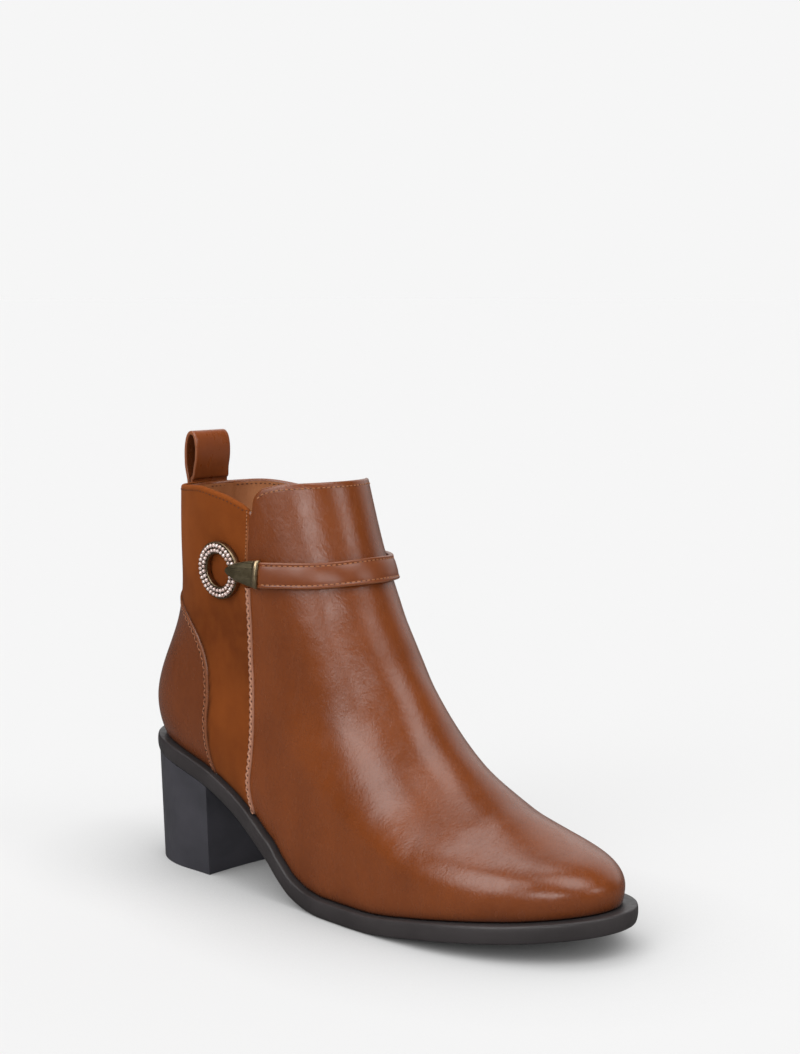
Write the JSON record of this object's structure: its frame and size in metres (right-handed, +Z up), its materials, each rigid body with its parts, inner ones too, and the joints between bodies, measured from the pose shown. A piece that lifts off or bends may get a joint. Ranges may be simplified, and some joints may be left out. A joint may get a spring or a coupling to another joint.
{
  "type": "buckle ankle boot",
  "caption": "Right ankle boot with a hollow leather upper, thin rubber sole, block heel, ankle strap with a crystal ring and metal tip, and a pull loop at the back.",
  "frame": {"origin": "Middle of the boot's box, on the floor under the sole.", "axes": "+X from heel to toe, +Y to the inner side of the foot, +Z up."},
  "size_m": [0.257, 0.0858, 0.1936],
  "materials": {
    "black_rubber": "satin black",
    "black_heel": "satin black",
    "tan_leather": "polished tan with a suede side panel",
    "sock_lining": "matte",
    "strap_leather": "polished tan",
    "ring_metal": "set with clear crystals",
    "aged_brass": "aged and brushed",
    "loop_leather": "polished brown"
  },
  "bodies": {
    "root": {"outsole": "black_rubber", "heel_block": "black_heel", "upper": "tan_leather", "insole": "sock_lining", "ankle_strap": "strap_leather", "buckle_ring": "ring_metal", "strap_tip": "aged_brass", "pull_loop": "loop_leather"}
  },
  "joints": []
}
